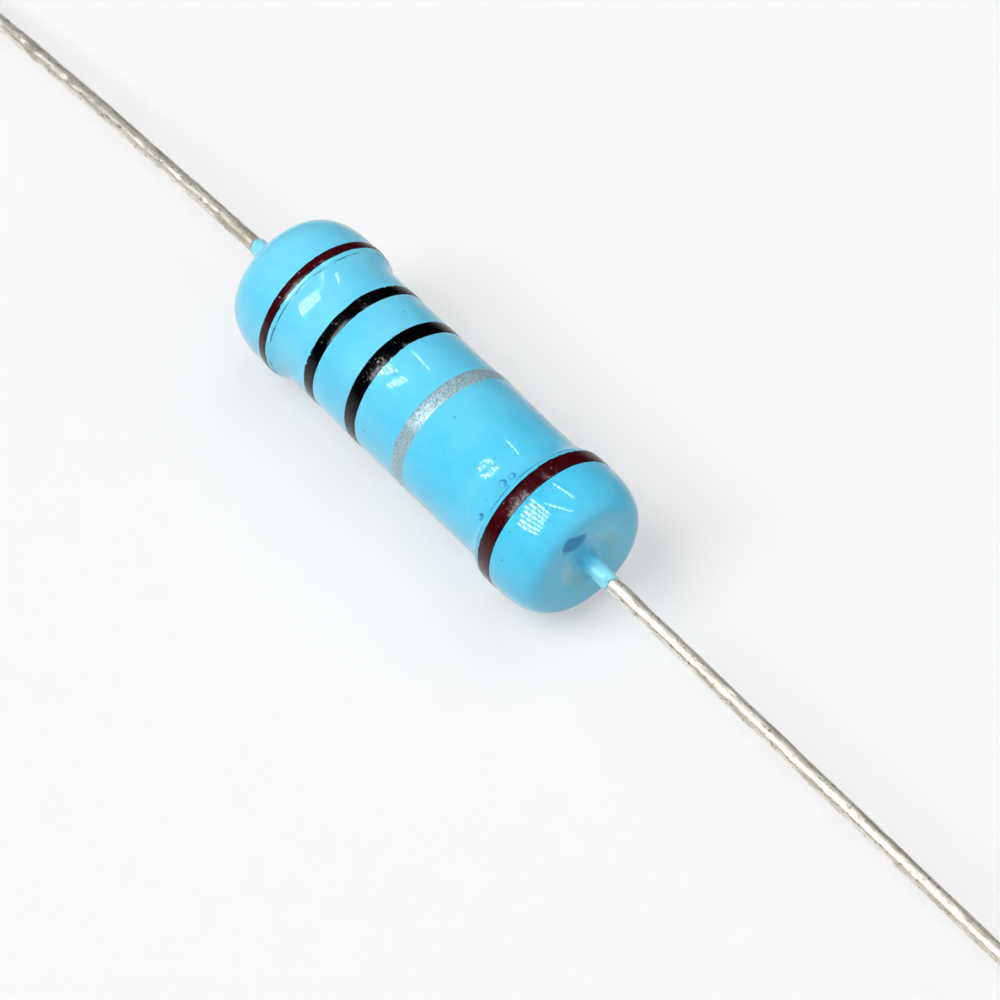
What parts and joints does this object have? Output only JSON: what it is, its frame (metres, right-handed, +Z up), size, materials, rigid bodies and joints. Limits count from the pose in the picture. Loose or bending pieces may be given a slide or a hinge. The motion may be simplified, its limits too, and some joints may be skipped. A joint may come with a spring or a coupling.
{
  "type": "axial resistor",
  "caption": "Lacquered axial film resistor: a dog-bone body on a capped ceramic rod, painted colour bands, and a straight and a gently bowed wire lead.",
  "frame": {"origin": "under the middle of the body, on the surface that the brown bands rest on; the box of the whole part is centred on it", "axes": "+X along the body and its straight right lead, towards that lead's tip; +Z up from the surface; the left lead bows down in the XZ plane"},
  "size_m": [0.0957, 0.008, 0.0081],
  "materials": {
    "ceramic": "bare sintered ceramic, matte off-white",
    "film": "thin dark grey oxide film with a faint sheen",
    "cap_steel": "drawn steel cup, tin plated, satin",
    "tinned_wire": "drawn copper wire, bright tin plated, with faint ripples and nicks",
    "lacquer": "glossy sky-blue baked lacquer with small bubbles",
    "brown_paint": "dark maroon-brown band paint, grainy gloss",
    "black_paint": "black band paint, grainy gloss",
    "silver_paint": "silver flake band paint, satin"
  },
  "bodies": {
    "root": {"ceramic_core": "ceramic", "resistive_film": "film", "left_cap": "cap_steel", "right_cap": "cap_steel", "left_lead": "tinned_wire", "right_lead": "tinned_wire", "lacquer_coating": "lacquer", "brown_band_1": "brown_paint", "black_band_1": "black_paint", "black_band_2": "black_paint", "silver_band": "silver_paint", "brown_band_2": "brown_paint"}
  },
  "joints": []
}
